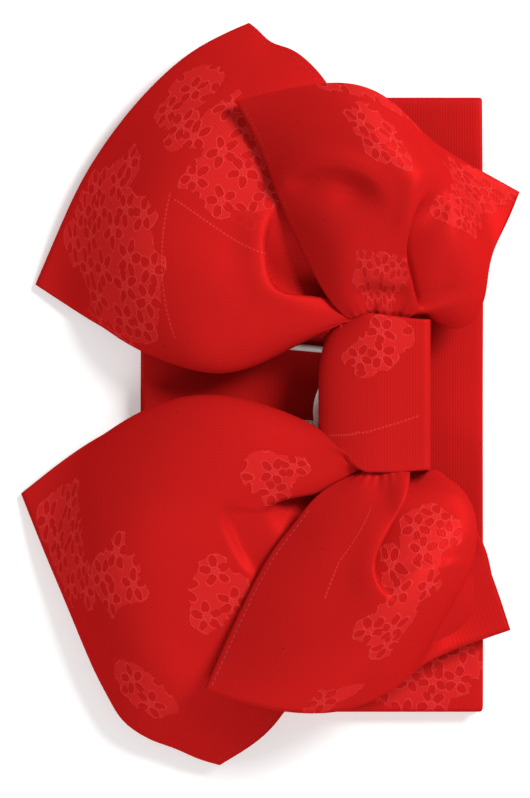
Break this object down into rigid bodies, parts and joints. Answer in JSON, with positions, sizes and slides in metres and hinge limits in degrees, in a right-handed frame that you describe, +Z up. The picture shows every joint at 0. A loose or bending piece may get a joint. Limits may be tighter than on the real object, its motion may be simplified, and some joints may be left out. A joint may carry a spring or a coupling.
{
  "type": "pre-tied kimono sash bow",
  "caption": "Pre-tied kimono sash bow of red jacquard satin, two tiers of looped wings round a wrapped knot with a wire insertion hook, lying on its folded waist band.",
  "frame": {"origin": "middle of the whole object's footprint, on the surface that the folded band lies on", "axes": "+Z up from the surface to the bow's face, +X towards the sash's upper edge when worn, +Y along the sash towards the upper wings"},
  "size_m": [0.223, 0.334, 0.0722],
  "materials": {
    "ribbon_satin": "jacquard satin with fine ribs",
    "band_satin": "jacquard satin with fine ribs",
    "interlining": "matt stiff interlining",
    "red_thread": "twisted sewing thread",
    "white_thread": "twisted cotton thread",
    "wire": "drawn steel wire",
    "vinyl": "soft white vinyl sleeve"
  },
  "bodies": {
    "waist_band": {"band_cover": "band_satin", "band_core": "interlining", "band_end_stitches": "red_thread"},
    "bow": {"rear_upper_wing": "ribbon_satin", "rear_lower_wing": "ribbon_satin", "front_upper_wing": "ribbon_satin", "front_lower_wing": "ribbon_satin", "rear_gather": "ribbon_satin", "front_gather": "ribbon_satin", "gather_binding": "white_thread", "knot_band": "ribbon_satin", "knot_core": "interlining", "knot_stitches": "red_thread", "hook_wire": "wire", "upper_leg_sleeve": "vinyl", "lower_leg_sleeve": "vinyl", "hook_tacking": "red_thread"}
  },
  "joints": [
    {"name": "bow_lift", "type": "slide", "parent": "waist_band", "child": "bow", "axis": [0, 0, 1], "range_m": [0, 0.12]}
  ]
}
